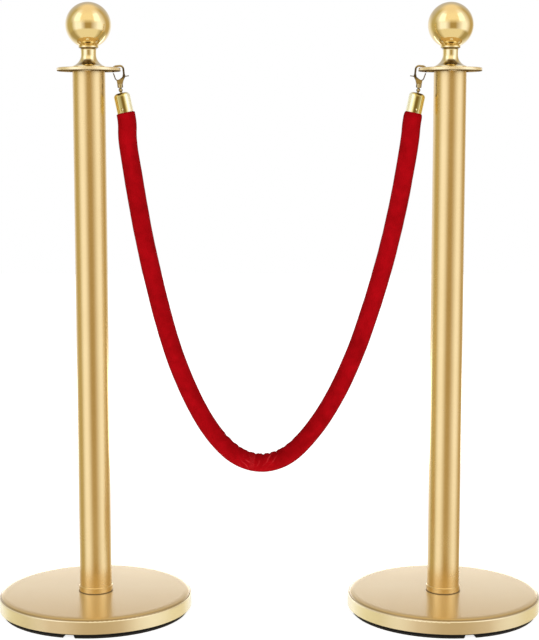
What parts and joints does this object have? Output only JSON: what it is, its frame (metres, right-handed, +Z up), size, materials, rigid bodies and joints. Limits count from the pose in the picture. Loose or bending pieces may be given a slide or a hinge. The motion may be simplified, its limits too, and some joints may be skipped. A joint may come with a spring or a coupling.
{
  "type": "rope barrier stanchion set",
  "caption": "Pair of gold ball-top stanchions on weighted round bases, joined by a red velvet rope with trigger snap hooks.",
  "frame": {"origin": "on the floor, midway between the two posts", "axes": "+X from the left post to the right post, +Y away from the front, +Z up"},
  "size_m": [0.868, 0.308, 0.965],
  "materials": {
    "satin_gold": "satin gold coating on steel",
    "polished_gold": "polished gold plating",
    "hook_gold": "bright gold-plated casting",
    "zinc_steel": "zinc-plated steel",
    "spring_steel": "bright spring steel",
    "black_steel": "black paint",
    "black_rubber": "matt black rubber",
    "concrete": "cast concrete",
    "clear_nylon": "natural nylon",
    "red_velvet": "short-pile red velvet",
    "rope_filling": "soft cotton and foam filling"
  },
  "bodies": {
    "root": {"left_base_ring": "black_rubber", "left_base_cover": "satin_gold", "left_base_weight": "concrete", "left_bottom_disc": "black_steel", "left_base_stud": "zinc_steel", "left_stud_washer": "zinc_steel", "left_stud_nut": "zinc_steel", "left_tube": "satin_gold", "left_foot_collar": "satin_gold", "left_foot_plug": "zinc_steel", "left_head_plug": "zinc_steel", "left_hook_disc": "satin_gold", "right_base_ring": "black_rubber", "right_base_cover": "satin_gold", "right_base_weight": "concrete", "right_bottom_disc": "black_steel", "right_base_stud": "zinc_steel", "right_stud_washer": "zinc_steel", "right_stud_nut": "zinc_steel", "right_tube": "satin_gold", "right_foot_collar": "satin_gold", "right_foot_plug": "zinc_steel", "right_head_plug": "zinc_steel", "right_hook_disc": "satin_gold"},
    "rope": {"velvet_sleeve": "red_velvet", "rope_core": "rope_filling", "left_rope_cap": "polished_gold", "left_cap_pin": "polished_gold", "left_swivel": "hook_gold", "right_rope_cap": "polished_gold", "right_cap_pin": "polished_gold", "right_swivel": "hook_gold"},
    "left_hook": {"left_hook_body": "hook_gold", "left_gate_pin": "hook_gold", "left_gate_spring": "spring_steel"},
    "left_gate": {"left_gate": "hook_gold"},
    "left_finial_washer": {"left_finial_washer": "clear_nylon"},
    "left_finial": {"left_finial_neck": "polished_gold", "left_finial_ball": "polished_gold", "left_finial_screw": "zinc_steel", "left_ball_nut": "zinc_steel"},
    "right_hook": {"right_hook_body": "hook_gold", "right_gate_pin": "hook_gold", "right_gate_spring": "spring_steel"},
    "right_gate": {"right_gate": "hook_gold"},
    "right_finial_washer": {"right_finial_washer": "clear_nylon"},
    "right_finial": {"right_finial_neck": "polished_gold", "right_finial_ball": "polished_gold", "right_finial_screw": "zinc_steel", "right_ball_nut": "zinc_steel"}
  },
  "joints": [
    {"name": "rope_swing", "type": "hinge", "parent": "root", "child": "rope", "pos_m": [0, 0, 0.86675], "axis": [1, 0, 0], "range_deg": [-20, 20]},
    {"name": "left_hook_swivel", "type": "hinge", "parent": "rope", "child": "left_hook", "pos_m": [-0.231, 0, 0.83], "axis": [-0.0941, 0, 0.9956], "range_deg": [-10, 10]},
    {"name": "left_gate_hinge", "type": "hinge", "parent": "left_hook", "child": "left_gate", "pos_m": [-0.23492, 0, 0.84389], "axis": [0, 1, 0], "range_deg": [0, 26], "stiffness_Nm_per_rad": 0.02, "springref_deg": -17.19, "deforming": ["left_gate_spring"]},
    {"name": "left_finial_rise", "type": "slide", "parent": "root", "child": "left_finial_washer", "axis": [0, 0, 1], "range_m": [0, 0.009]},
    {"name": "left_finial_turn", "type": "hinge", "parent": "left_finial_washer", "child": "left_finial", "pos_m": [-0.28, 0, 0.93], "axis": [0, 0, 1], "range_deg": [0, 2160]},
    {"name": "right_hook_swivel", "type": "hinge", "parent": "rope", "child": "right_hook", "pos_m": [0.231, 0, 0.83], "axis": [0.0941, 0, 0.9956], "range_deg": [-10, 10]},
    {"name": "right_gate_hinge", "type": "hinge", "parent": "right_hook", "child": "right_gate", "pos_m": [0.23492, 0, 0.84389], "axis": [0, -1, 0], "range_deg": [0, 26], "stiffness_Nm_per_rad": 0.02, "springref_deg": -17.19, "deforming": ["right_gate_spring"]},
    {"name": "right_finial_rise", "type": "slide", "parent": "root", "child": "right_finial_washer", "axis": [0, 0, 1], "range_m": [0, 0.009]},
    {"name": "right_finial_turn", "type": "hinge", "parent": "right_finial_washer", "child": "right_finial", "pos_m": [0.28, 0, 0.93], "axis": [0, 0, 1], "range_deg": [0, 2160]}
  ],
  "couplings": [
    {"joint": "left_finial_rise", "follows": "left_finial_turn", "m_per_rad": 0.00023873},
    {"joint": "right_finial_rise", "follows": "right_finial_turn", "m_per_rad": 0.00023873}
  ]
}
